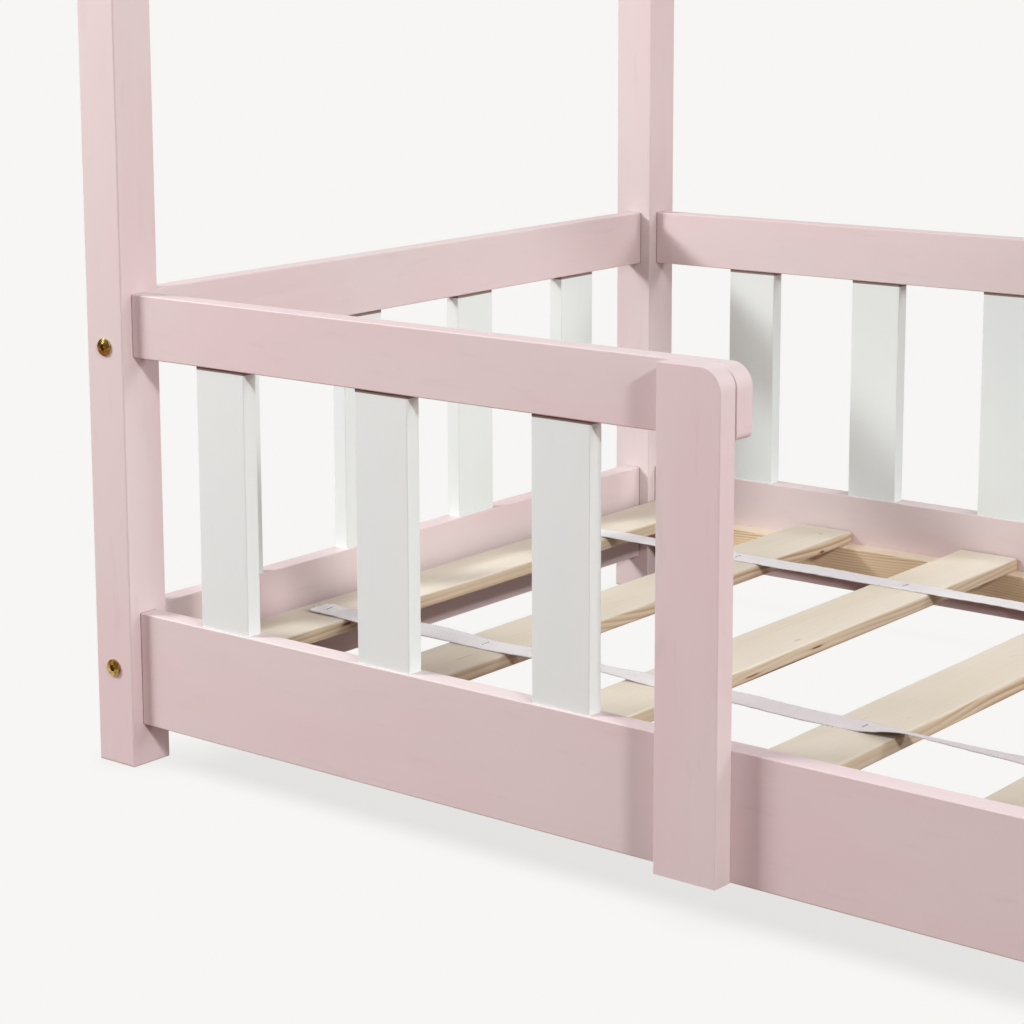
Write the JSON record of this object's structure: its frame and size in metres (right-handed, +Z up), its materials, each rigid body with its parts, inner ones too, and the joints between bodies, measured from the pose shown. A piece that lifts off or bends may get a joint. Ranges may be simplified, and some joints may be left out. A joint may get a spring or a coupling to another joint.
{
  "type": "toddler bed",
  "caption": "Low wooden toddler bed with tall corner posts and a gabled roof frame, baluster guards on three sides, a short front guard with an open way in, and a loose slatted base.",
  "frame": {"origin": "on the floor, at the centre of the whole bed's footprint", "axes": "+X along the bed towards the foot end, +Y towards the back guard, +Z up; the front with the way in faces -Y"},
  "size_m": [1.663, 0.7674, 1.4],
  "materials": {
    "pink_paint": "matt dusty pink paint on pine",
    "white_paint": "satin white paint",
    "pine": "planed, unfinished",
    "beech": "fluted dowel, unfinished",
    "webbing": "woven polypropylene webbing",
    "brass": "yellow passivated, satin",
    "zinc_steel": "zinc plated"
  },
  "bodies": {
    "frame": {"post_front_left": "pink_paint", "post_front_right": "pink_paint", "post_back_left": "pink_paint", "post_back_right": "pink_paint", "side_rail_front": "pink_paint", "side_rail_back": "pink_paint", "end_rail_left": "pink_paint", "end_rail_right": "pink_paint", "guard_rail_front": "pink_paint", "guard_rail_back": "pink_paint", "guard_rail_left": "pink_paint", "guard_rail_right": "pink_paint", "guard_end_post": "pink_paint", "rafter_front_left": "pink_paint", "rafter_front_right": "pink_paint", "rafter_back_left": "pink_paint", "rafter_back_right": "pink_paint", "ridge_beam": "pink_paint", "eave_beam_front": "pink_paint", "eave_beam_back": "pink_paint", "baluster_front_1": "white_paint", "baluster_front_2": "white_paint", "baluster_front_3": "white_paint", "baluster_left_1": "white_paint", "baluster_left_2": "white_paint", "baluster_left_3": "white_paint", "baluster_left_4": "white_paint", "baluster_right_1": "white_paint", "baluster_right_2": "white_paint", "baluster_right_3": "white_paint", "baluster_right_4": "white_paint", "baluster_back_1": "white_paint", "baluster_back_2": "white_paint", "baluster_back_3": "white_paint", "baluster_back_4": "white_paint", "baluster_back_5": "white_paint", "baluster_back_6": "white_paint", "baluster_back_7": "white_paint", "baluster_back_8": "white_paint", "baluster_back_9": "white_paint", "baluster_back_10": "white_paint", "baluster_back_11": "white_paint", "ledge_front": "pine", "ledge_back": "pine", "frame_bolts": "brass", "insert_nuts": "brass", "dowels": "beech", "wood_screws": "zinc_steel"},
    "slat_base": {"slat_1": "pine", "slat_2": "pine", "slat_3": "pine", "slat_4": "pine", "slat_5": "pine", "slat_6": "pine", "slat_7": "pine", "slat_8": "pine", "slat_9": "pine", "slat_10": "pine", "strap_front": "webbing", "strap_back": "webbing"}
  },
  "joints": [
    {"name": "slat_base_lift", "type": "slide", "parent": "frame", "child": "slat_base", "axis": [0, 0, 1], "range_m": [0, 0.4]}
  ]
}
